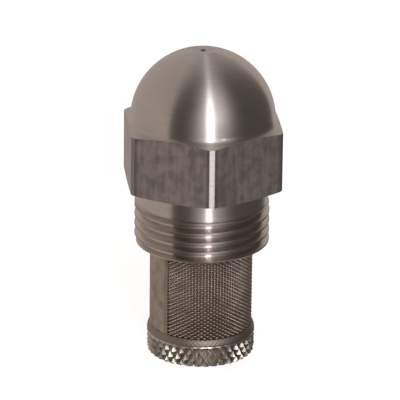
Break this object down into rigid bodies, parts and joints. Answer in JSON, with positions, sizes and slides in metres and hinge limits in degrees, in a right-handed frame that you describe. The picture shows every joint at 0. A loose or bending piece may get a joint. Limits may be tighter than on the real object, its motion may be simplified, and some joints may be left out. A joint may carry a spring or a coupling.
{
  "type": "oil burner nozzle",
  "caption": "Domed hexagon oil burner nozzle with a threaded shank and a woven wire strainer that unscrews by its knurled end cap.",
  "frame": {"origin": "centre of the end cap's lower face, on which the nozzle stands", "axes": "+Z along the nozzle's axis towards the spray nose; two corners of the hexagon lie on the Y axis and two wrench flats face +X and -X"},
  "size_m": [0.0158, 0.018, 0.0334],
  "materials": {
    "stainless_body": "turned dome and shank, drawn hexagon flats",
    "hardened_steel": "ground and lapped",
    "brass": "turned",
    "screen_wire": "woven wire, dull",
    "cap_steel": "knurled"
  },
  "bodies": {
    "strainer": {"strainer_stem": "brass", "screen_collar": "brass", "strainer_screen": "screen_wire", "end_cap": "cap_steel"},
    "nozzle": {"nozzle_body": "stainless_body", "orifice_insert": "hardened_steel"},
    "lock_screw": {"lock_screw": "brass"},
    "distributor": {"distributor": "hardened_steel"}
  },
  "joints": [
    {"name": "nozzle_off", "type": "slide", "parent": "strainer", "child": "nozzle", "axis": [0, 0, 1], "range_m": [0, 0.026]},
    {"name": "lock_screw_out", "type": "slide", "parent": "nozzle", "child": "lock_screw", "axis": [0, 0, -1], "range_m": [0, 0.0248]},
    {"name": "distributor_out", "type": "slide", "parent": "nozzle", "child": "distributor", "axis": [0, 0, -1], "range_m": [0, 0.022]}
  ],
  "couplings": [
    {"joint": "lock_screw_out", "follows": "nozzle_off", "ratio": 0.953},
    {"joint": "distributor_out", "follows": "nozzle_off", "ratio": 0.846}
  ]
}
